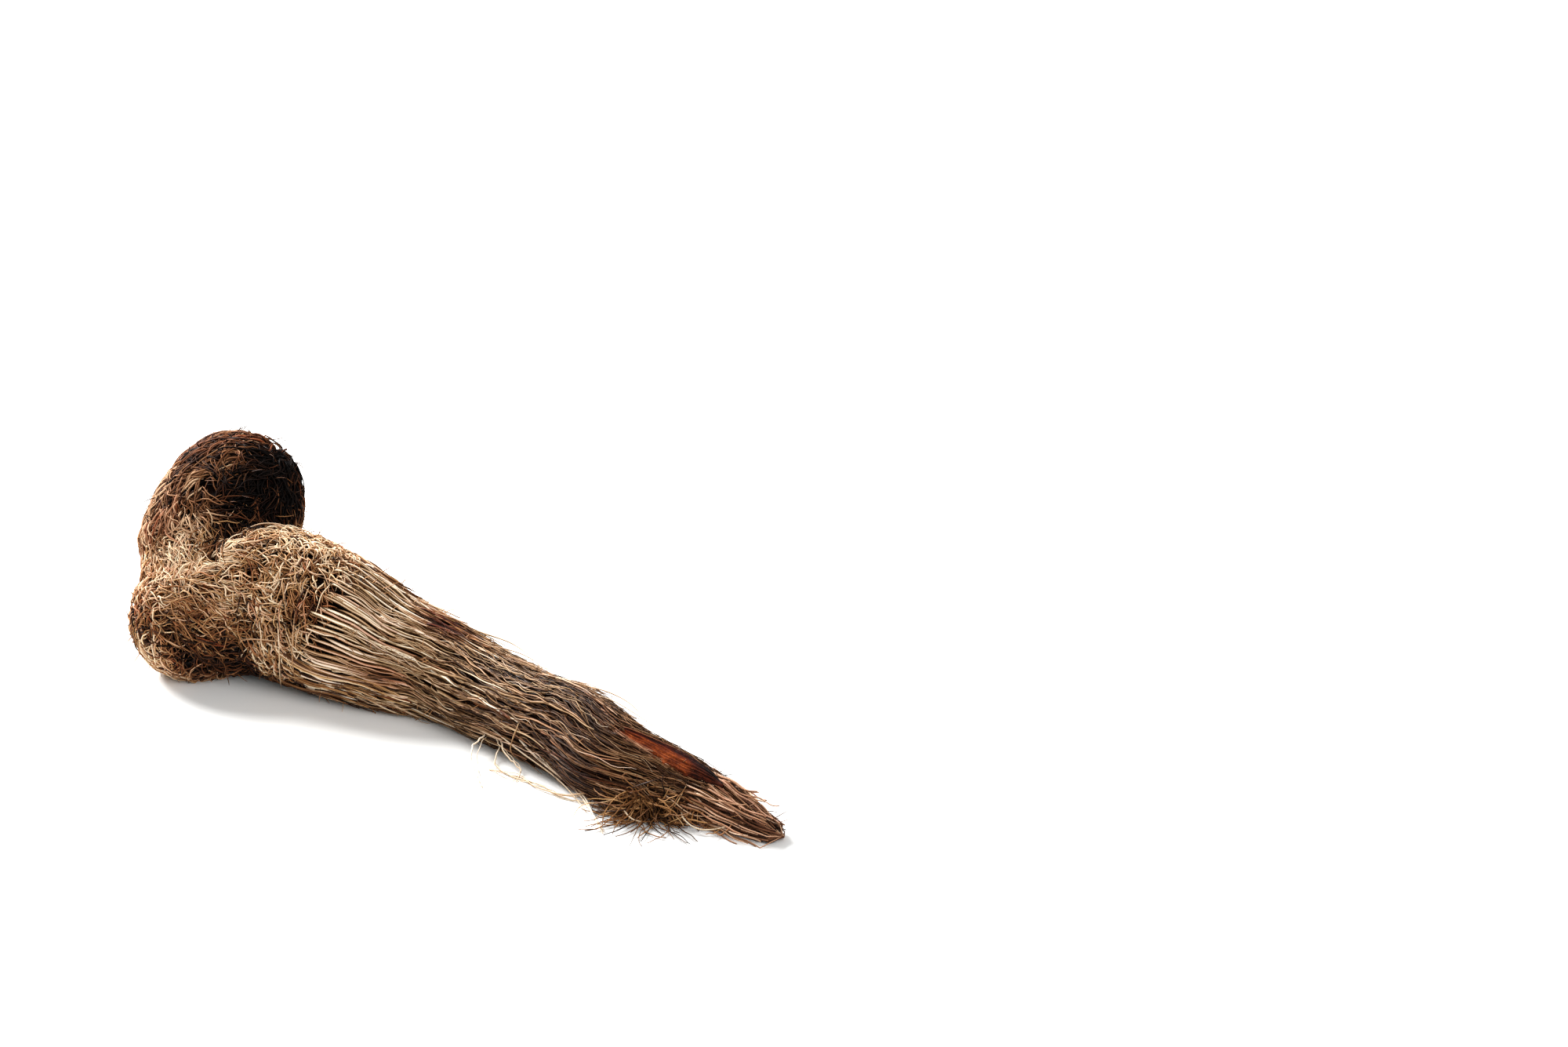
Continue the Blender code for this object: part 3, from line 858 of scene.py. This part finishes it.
def mat(
    part, count, steps, length, radius, spread, lift, painted_depth_light=0.03,
    redder=0.0, curl=0.12, sway=(0.0, 0.3), mottle=0.15,
):
    """Matted strands on one part of the head, which follow the headings and colours there."""
    pick = order[part[order]][:count]
    count = len(pick)
    crown_pick, turned = is_crown[pick][:, None], whorl_share[pick][:, None]
    along_way = np.where(crown_pick, c_ahead[pick], t_ahead[pick])
    round_way = np.where(crown_pick, c_around[pick], t_around[pick])
    heading = flow[pick] + rng.normal(0, 1, count) * spread * tangle[pick]
    way = along_way * np.cos(heading)[:, None] + round_way * np.sin(heading)[:, None]
    paths, normals = walk(
        starts[pick],
        way * (1 - turned) + whorl_way[pick] * turned,
        rng.uniform(*length, count),
        steps,
        rng.normal(0, curl, count),
        rng.uniform(*sway, count),
        wave_phase[pick] + rng.normal(0, 0.5, count),
        rng.uniform(*lift, count),
    )
    # painted_depth_light shifts each layer's tone: down for the lowest layer, as painted shade
    # among the strands, and up for the highest, as painted light.
    value = tone[pick] + painted_depth_light + rng.normal(0, mottle, count)
    warm = np.clip(red[pick] + redder + rng.normal(0, 0.18, count), 0, 1)
    return Strands(paths, normals, rng.uniform(*radius, count), value, warm, taper=0.45)


grow(
    "head_mat",
    [
        mat(head, 1250, 5, (1.8, 3.8), (0.12, 0.17), 0.8, (-0.10, 0.10), -0.34, 0.2),
        mat(
            head, 2500, 7, (1.4, 3.0), (0.075, 0.12), 0.40, (0.16, 0.50),
            sway=(0.2, 0.75), mottle=0.20,
        ),
        mat(
            head & (t_along > 3.5), 260, 9, (3.0, 5.5), (0.06, 0.10), 0.35, (0.42, 0.66), 0.06,
            sway=(0.1, 0.5),
        ),
    ],
    3,
    GOLDEN,
    side_shade=0.30,
)
grow(
    "collar_mat",
    [
        mat(collar, 1000, 5, (1.8, 3.8), (0.12, 0.17), 0.8, (-0.10, 0.10), -0.34, 0.2),
        mat(
            collar, 2100, 6, (1.1, 2.5), (0.075, 0.12), 0.42, (0.20, 0.56),
            sway=(0.1, 0.6), mottle=0.27,
        ),
        mat(collar, 130, 10, (2.5, 4.5), (0.055, 0.085), 0.6, (0.45, 0.75), 0.08, curl=0.06),
    ],
    3,
    GOLDEN,
    side_shade=0.30,
)
grow(
    "crown_mat",
    [
        mat(dark, 1100, 6, (2.0, 4.5), (0.14, 0.20), 0.7, (-0.10, 0.12), -0.24),
        mat(
            dark, 2100, 8, (2.0, 4.2), (0.085, 0.13), 0.36, (0.16, 0.52),
            sway=(0.1, 0.6), mottle=0.22,
        ),
        mat(dark, 220, 12, (3.5, 6.0), (0.07, 0.11), 0.25, (0.35, 0.60), 0.08),
    ],
    3,
    RUST,
    side_shade=0.24,
)


# ---- fine hairs that stand off the whole root


def fuzz(count, steps, length, radius):
    """Short hairs that leave the skin at a slant and bend over."""
    place, outward = nearest(scatter(count))
    lean = unit(np.array((0.8, 0.0, 0.0)) + rng.normal(0, 0.6, (count, 3)))
    way = unit(outward * rng.uniform(0.25, 0.9, count)[:, None] + lean)
    bend = rng.normal(0, 0.16, (count, 3)) + np.array((0.05, 0.0, -0.05))
    step = (rng.uniform(*length, count) / (steps - 1))[:, None]
    paths = [place + outward * 0.25]
    for _ in range(1, steps):
        paths.append(paths[-1] + way * step)
        way = unit(way + bend)
    along, _, share, _, _ = address(trunk, place)
    on_crown = share > 1.25
    value = np.where(on_crown | (along < COLLAR_END), 0.62, 0.70 - 0.30 * smooth(26.0, 60.0, along))
    # Hairs high on the rear crown are darker, in line with the painted shade on its top.
    value = value - 0.34 * (on_crown & (place[:, 2] > 13.0))
    radii = rng.uniform(*radius, count)
    return loose(np.stack(paths, axis=1), radii, value + rng.normal(0, 0.12, count), [0.25] * count)


grow("fuzz", [fuzz(1150, 5, (0.7, 1.8), (0.035, 0.06))], 3, GOLDEN)


# ---- single forms: tail strands, beard, rootlets and long hairs

# Thin roots and hairs that lie round the body, through points before SHIFT.
ROOTLETS = (
    ((6.0, -2.6, 2.6), (6.4, -4.2, 2.2), (8.0, -4.9, 1.2), (9.6, -5.3, 0.6), (10.5, -7.0, 0.5)),
    (
        (5.6, -2.6, 2.0), (7.4, -5.9, 0.8), (10.4, -6.7, 0.6),
        (13.1, -6.5, 0.6), (16.0, -7.1, 0.6), (18.6, -6.9, 0.6),
    ),
    ((19.0, -4.6, 1.8), (17.4, -6.7, 0.9), (12.8, -7.0, 0.5), (9.6, -6.2, 0.6), (7.0, -6.6, 0.5)),
    ((4.0, -2.6, 2.4), (4.4, -5.2, 1.7), (6.2, -7.6, 0.9), (8.6, -9.6, 0.5)),
)
ROOTLET_RADII = (0.085, 0.045)
LONG_HAIRS = (
    ((6.0, -3.4, 4.6), (10.6, -4.9, 2.8), (16.9, -6.0, 0.9), (20.4, -8.3, 0.7), (23.1, -10.2, 0.6)),
    ((7.4, -3.6, 4.4), (11.8, -4.9, 2.5), (17.6, -6.2, 1.0), (20.8, -8.6, 0.7), (23.3, -10.6, 0.6)),
    ((4.0, -3.8, 3.6), (9.0, -4.8, 2.5), (14.5, -5.6, 1.2), (18.0, -7.2, 0.7), (19.6, -8.2, 0.6)),
    ((21.6, -4.6, 2.0), (22.6, -6.2, 1.2), (23.4, -7.4, 1.5), (24.6, -7.8, 1.2), (25.6, -7.0, 0.8)),
    ((27.0, -3.6, 1.8), (28.6, -5.4, 1.4), (30.2, -5.6, 1.0), (31.6, -4.8, 1.0), (32.6, -4.4, 1.4)),
)
LONG_HAIR_RADII = (0.13, 0.11, 0.09, 0.10, 0.09)
LONG_HAIR_TONES = (0.98, 0.95, 0.85, 0.80, 0.80)
# Hairs that cross the coat: distance along the trunk, angle in degrees and height above it.
STRAYS = (
    ((18.6, 160, 0.2), (19.7, 175, 0.7), (19.9, 206, 0.8), (18.2, 238, 0.9)),
    ((20.2, 150, 0.2), (21.0, 168, 0.7), (21.4, 187, 0.8), (21.5, 210, 0.8)),
    ((9.6, 196, 0.1), (11.5, 188, 0.9), (16.8, 181, 1.0), (20.6, 174, 0.5)),
    ((47.6, 150, 0.2), (47.9, 166, 0.8), (46.9, 206, 1.1), (47.4, 236, 0.9)),
    ((32.6, 66, 0.2), (35.6, 52, 1.0), (38.4, 48, 1.6), (42.0, 54, 1.5)),
    ((36.6, 70, 0.2), (39.0, 60, 0.9), (42.4, 58, 1.3), (45.6, 66, 0.9)),
    ((48.6, 66, 0.2), (51.4, 56, 1.0), (54.6, 50, 1.7), (58.6, 56, 1.7)),
    ((51.0, 74, 0.2), (53.6, 62, 1.0), (56.6, 54, 1.4), (61.2, 60, 1.3)),
    ((63.0, 160, 0.2), (65.2, 172, 0.7), (67.6, 186, 0.9), (70.4, 166, 0.8)),
    ((26.0, 196, 0.2), (28.6, 208, 0.8), (31.0, 222, 1.0), (31.8, 236, 0.8)),
    ((29.0, 200, 0.2), (31.6, 212, 0.9), (33.8, 228, 0.9), (33.4, 240, 0.9)),
    ((12.0, 92, 0.2), (13.0, 84, 0.7), (14.6, 80, 0.8), (16.6, 88, 0.5)),
    ((12.2, 108, 0.2), (13.4, 96, 0.8), (15.4, 94, 0.8), (17.6, 104, 0.4)),
)


def sheath_strands(count, steps):
    """Thin strands that cling to the leaf base and cross its edges."""
    t = np.linspace(0.0, 1.0, steps)
    first = SHEATH_FIRST + rng.uniform(-3.5, 8.5, count)
    along = first[:, None] + rng.uniform(3.5, 8.0, count)[:, None] * t
    place = (along - SHEATH_FIRST) / SHEATH_LENGTH
    side = np.where(rng.random(count) < 0.3, -1.0, 1.0) * rng.uniform(0.70, 1.35, count)
    across = side[:, None] + rng.normal(0, 0.35, count)[:, None] * (t - 0.5)
    reach = np.maximum(sheath_width(place), 0.35) / sheath_radius(along)
    angle = SHEATH_ANGLE + SHEATH_WINDING * place + across * reach
    cover = np.clip(1.2 - np.abs(across), 0.0, 0.5) * 0.8
    lift = np.interp(t, (0.0, 0.25, 0.8, 1.0), (-0.5, -0.1, -0.05, 0.1)) + 0.35
    lift = lift + cover + 0.25 * np.clip(place, 0, 1)
    return trunk.skin(along, angle, lift)[0]


def tail_paths(count, steps):
    """The last strands, which part from each other, curve a little and end at different places."""
    lines = []
    t = np.linspace(0.0, 1.0, steps)
    for i in range(count):
        angle = 2 * math.pi * (i * 0.618034 % 1.0)
        start = trunk.length - rng.uniform(8.0, 19.0)
        end = trunk.length + 1.0 - 7.0 * rng.uniform(0.0, 1.0) ** 2
        along = start + (end - start) * t
        lifts = (-0.3, 0.3, rng.uniform(-0.3, 0.6), rng.uniform(-0.9, 0.4))
        lift = np.interp(t, (0, 0.25, 0.7, 1.0), lifts)
        swing = 0.10 * np.sin(along * rng.uniform(0.5, 1.4) + rng.uniform(0, 6.3))
        angle = angle + (swing + rng.normal(0, 0.4) * t**2)
        lift = np.minimum(lift, 3.0 - 3.4 * over_sheath(along, angle))
        lines.append(trunk.skin(along, angle, lift)[0])
    return lines


def fan_paths(count, steps):
    """Separate pale strands at the very end, which leave the bundle one by one and spread out."""
    t = np.linspace(0.0, 1.0, steps)
    share = (np.arange(count) + 0.5) / count
    angle = np.radians(20 + 210 * share)[:, None] + rng.normal(0, 0.35, count)[:, None] * t**2
    start = trunk.length - rng.uniform(7.0, 12.0, count)
    end = trunk.length + rng.uniform(-4.0, 1.1, count)
    along = start[:, None] + (end - start)[:, None] * t
    spread = rng.uniform(-0.5, 1.3, count)[:, None]
    lift = -0.3 + 0.95 * smooth(0.0, 0.3, t) + spread * t**2.5
    lift = lift + 0.12 * np.sin(along * 1.9 + 9 * share[:, None])
    return trunk.skin(along, angle, lift)[0]


def curls(count, span, degrees, outward_share, towards, spread, reach, curl, steps):
    """Loose curly fibres: each leaves its foot in its own way, keeps turning and settles down."""
    along = rng.uniform(*span, count)
    angle = np.radians(rng.uniform(*degrees, count))
    place, outward = trunk.skin(along, angle, np.full(count, -0.2))
    ways = outward * outward_share + np.array(towards) + rng.normal(0, spread, place.shape)
    way, step = unit(ways), (rng.uniform(*reach, count) / (steps - 1))[:, None]
    axis = rng.normal(0, 1, (count, 3))
    axis = unit(axis + np.array((0.0, 0.0, 1.6)) * rng.choice((-1, 1), count)[:, None])
    turn = rng.uniform(*curl, count)[:, None]
    paths = [place]
    for j in range(1, steps):
        way = way + np.cross(axis, way) * turn + rng.normal(0, 0.10, way.shape)
        way = unit(way - UP * (0.16 * j / steps))
        turn = turn * 0.99
        place = place + way * step
        low = place[:, 2] < 0.25
        way[low, 2] = np.abs(way[low, 2]) * 0.5
        place[:, 2] = np.maximum(place[:, 2], 0.2)
        paths.append(place)
    return np.stack(paths, axis=1)


rootlet_lines = []
for line in ROOTLETS:
    for copy in range(2):
        moved = np.array(line) + SHIFT + (rng.normal(0, 0.14, (len(line), 3)) if copy else 0.0)
        path = curve_points(moved, 30)
        rough = np.cumsum(rng.normal(0, 0.055, path.shape), axis=0)
        rough -= np.linspace(0, 1, 30)[:, None] * rough[-1]
        rootlet_lines.append(path + rough)

tails = tail_paths(260, 20)
tail_radii = (np.repeat((0.13, 0.08), (110, 150)), np.repeat((0.18, 0.12), (110, 150)))
fans = fan_paths(30, 20)
clinging = sheath_strands(40, 20)
beard_parts = [
    curls(
        210, (60.4, 64.2), (180, 232), 0.3, (0.60, -0.95, -0.1), 0.25,
        reach=(3.5, 8.0), curl=(0.06, 0.30), steps=24,
    ),
    curls(
        300, (60.0, 66.0), (170, 232), 0.3, (0.7, -0.7, -0.2), 0.35,
        reach=(2.0, 4.0), curl=(0.15, 0.60), steps=16,
    ),
    curls(
        60, (63.0, 71.0), (150, 225), 0.5, (0.8, -0.5, 0.0), 0.4,
        reach=(2.0, 4.5), curl=(0.10, 0.50), steps=22,
    ),
]
grow(
    "tail_tip",
    [
        varied(tails, tail_radii, (0.46, 0.20), (0.20, 0.2), taper=0.45),
        varied(fans, (0.09, 0.14), (0.80, 0.12), (0.30, 0.15)),
        varied(clinging, (0.06, 0.10), (0.60, 0.18), (0.25, 0.2), taper=0.4),
    ],
    4,
    TAIL,
)
grow(
    "beard",
    [
        varied(beard_parts[0], (0.06, 0.10), (0.40, 0.18), (0.05, 0.12)),
        varied(beard_parts[1], (0.07, 0.12), (0.38, 0.18), (0.1, 0.15)),
        varied(beard_parts[2], (0.06, 0.10), (0.62, 0.14), (0.15, 0.15)),
    ],
    3,
    GOLDEN,
)
rootlet_count = len(rootlet_lines)
rootlet_tones = rng.normal(0.86, 0.06, rootlet_count)
rootlet_reds = np.clip(rng.normal(0.0, 0.1, rootlet_count), 0, 1)
rootlet_radii = ROOTLET_RADII * len(ROOTLETS)
rootlets = loose(rootlet_lines, rootlet_radii, rootlet_tones, rootlet_reds, taper=0.6)
grow("rootlets", [rootlets], 5, STRAW)

stray_lines = []
for stray in STRAYS:
    along, degrees, lift = np.array(stray).T
    stray_lines.append(curve_points(trunk.skin(along, np.radians(degrees), lift)[0], 26))
long_lines = [curve_points(np.array(hair) + SHIFT, 26) for hair in LONG_HAIRS]
strays = varied(stray_lines, (0.06, 0.10), (0.72, 0.10), (0.2, 0.1), taper=0.4)
long_reds = np.clip(rng.normal(0.1, 0.1, len(long_lines)), 0, 1)
long_hairs = loose(long_lines, LONG_HAIR_RADII, LONG_HAIR_TONES, long_reds)
grow("stray_hairs", [strays, long_hairs], 4, STRAW)


# ---- the dried leaf base


def torn_edge(t):
    """How ragged the leaf base's edges are at a place along it."""
    coarse, fine = Vector((t * 21.0, 3.0, 1.0)), Vector((t * 60.0, 8.0, 2.0))
    return noise.noise(coarse) + 0.5 * noise.noise(fine)


def grid_faces(grid, flip=False):
    """The faces of a grid of point numbers."""
    corners = [grid[:-1, :-1], grid[:-1, 1:], grid[1:, 1:], grid[1:, :-1]]
    quads = np.stack(corners, axis=-1).reshape(-1, 4)
    return quads[:, ::-1] if flip else quads


def wall_faces(a, b, flip=False):
    """The faces between two rows of point numbers."""
    quads = np.stack([a[:-1], a[1:], b[1:], b[:-1]], axis=-1)
    return quads[:, ::-1] if flip else quads


def leaf_strip(rows, columns):
    """A pleated strip bent round the root, with a torn upper end."""
    shape = (rows, columns)
    t = np.linspace(0.0, 1.0, rows)[:, None]
    across = np.linspace(-1.0, 1.0, columns)[None, :]
    along = np.broadcast_to(SHEATH_FIRST + SHEATH_LENGTH * t, shape)
    torn = np.array([torn_edge(v) for v in t[:, 0]])[:, None]
    wide = sheath_width(t) * (1 + 0.22 * torn * np.abs(across) ** 2)
    angle = SHEATH_ANGLE + SHEATH_WINDING * t + across * wide / sheath_radius(along)
    level = np.broadcast_to(-0.3 + 0.8 * t + 0.35, shape)
    pleat = 0.09 * np.cos(across * 9.0 + 0.8 * np.sin(t * 5)) + 0.07 * np.cos(across * 27.0 + t * 6)
    pleat = pleat * smooth(0.0, 0.15, t) * smooth(1.0, 0.85, t)
    edge = 1 - np.abs(across) ** 4
    inner, _ = trunk.skin(along, angle, level - 0.15 * (1 - edge))
    outer, _ = trunk.skin(along, angle, level + SHEATH_THICKNESS * (0.25 + 0.75 * edge) + pleat)
    points = np.concatenate([inner.reshape(-1, 3), outer.reshape(-1, 3)])

    low = np.arange(rows * columns).reshape(shape)
    high = low + rows * columns
    faces = [
        grid_faces(low),
        grid_faces(high, flip=True),
        wall_faces(low[:, 0], high[:, 0]),
        wall_faces(low[:, -1], high[:, -1], flip=True),
        wall_faces(low[0], high[0], flip=True),
        wall_faces(low[-1], high[-1]),
    ]

    upper = np.broadcast_to(smooth(0.15, -0.55, across), shape)
    shade = 0.64 - 0.34 * upper - 0.12 * smooth(0.2, 0.0, t) - 0.16 * smooth(0.7, 1.0, across)
    shade = shade - 0.34 * smooth(0.52, 0.92, t)
    pattern = [np.broadcast_to(across * 4.5, shape), np.zeros(shape), along * 0.14]
    values = {
        "tone": np.concatenate([shade.ravel() - 0.1, shade.ravel()]),
        "red": np.tile(upper.ravel() * 0.85, 2),
        "fibre": np.tile(np.stack(pattern, axis=-1).reshape(-1, 3), (2, 1)),
    }
    return mesh_object("leaf_strip", points, [np.concatenate(faces)], values)


dress(leaf_strip(90, 57), LEAF, node="leaf_sheath")


# ---- floor, light and camera

AZIMUTH, ELEVATION = math.radians(35), math.radians(24)
LENS = 100
TARGET = Vector((-2.3969, 57.0847, -0.45)) * MM
DISTANCE = 458.33 * MM
FLOOR_HALF = 900.0
FLOOR_COLOUR, FLOOR_ROUGHNESS = (238, 238, 236), 0.6
WORLD_STRENGTH = 0.45


def soft_light(name, way, distance, size, power):
    """A round light, so many metres away and across, and so many watts."""
    light = bpy.data.lights.new(name, "AREA")
    light.shape = "DISK"
    light.size = size
    light.energy = power
    made = add_object(name, light)
    made.location = way.normalized() * distance
    made.rotation_euler = (-way).to_track_quat("-Z", "Y").to_euler()


def studio():
    level = math.cos(ELEVATION)
    back = Vector((math.sin(AZIMUTH) * level, -math.cos(AZIMUTH) * level, math.sin(ELEVATION)))
    right = Vector((math.cos(AZIMUTH), math.sin(AZIMUTH), 0.0))
    up = back.cross(right)
    camera = add_object("camera", bpy.data.cameras.new("camera"))
    camera.data.lens = LENS
    camera.data.clip_start = 0.01
    camera.location = TARGET + back * DISTANCE
    camera.rotation_euler = back.to_track_quat("Z", "Y").to_euler()
    bpy.context.scene.camera = camera

    corners = [(-1.0, -1.0, 0.0), (1.0, -1.0, 0.0), (1.0, 1.0, 0.0), (-1.0, 1.0, 0.0)]
    floor = mesh_object("floor", np.array(corners) * FLOOR_HALF, [np.array([[0, 1, 2, 3]])], {})
    pale = bpy.data.materials.new("floor")
    pale.use_nodes = True
    looks = {"Base Color": linear(FLOOR_COLOUR), "Roughness": FLOOR_ROUGHNESS}
    set_inputs(pale.node_tree.nodes["Principled BSDF"], looks)
    floor.data.materials.append(pale)

    soft_light("key", up * 1.0 - right * 0.75 - back * 0.35, 0.55, 0.28, 9.0)
    soft_light("fill", back * 1.0 + right * 0.5 + up * 0.35, 0.60, 0.40, 2.2)
    world = bpy.data.worlds.new("world")
    bpy.context.scene.world = world
    world.use_nodes = True
    sky = {"Color": (1.0, 1.0, 1.0, 1.0), "Strength": WORLD_STRENGTH}
    set_inputs(world.node_tree.nodes["Background"], sky)
    bpy.context.scene.view_settings.view_transform = "Standard"


studio()
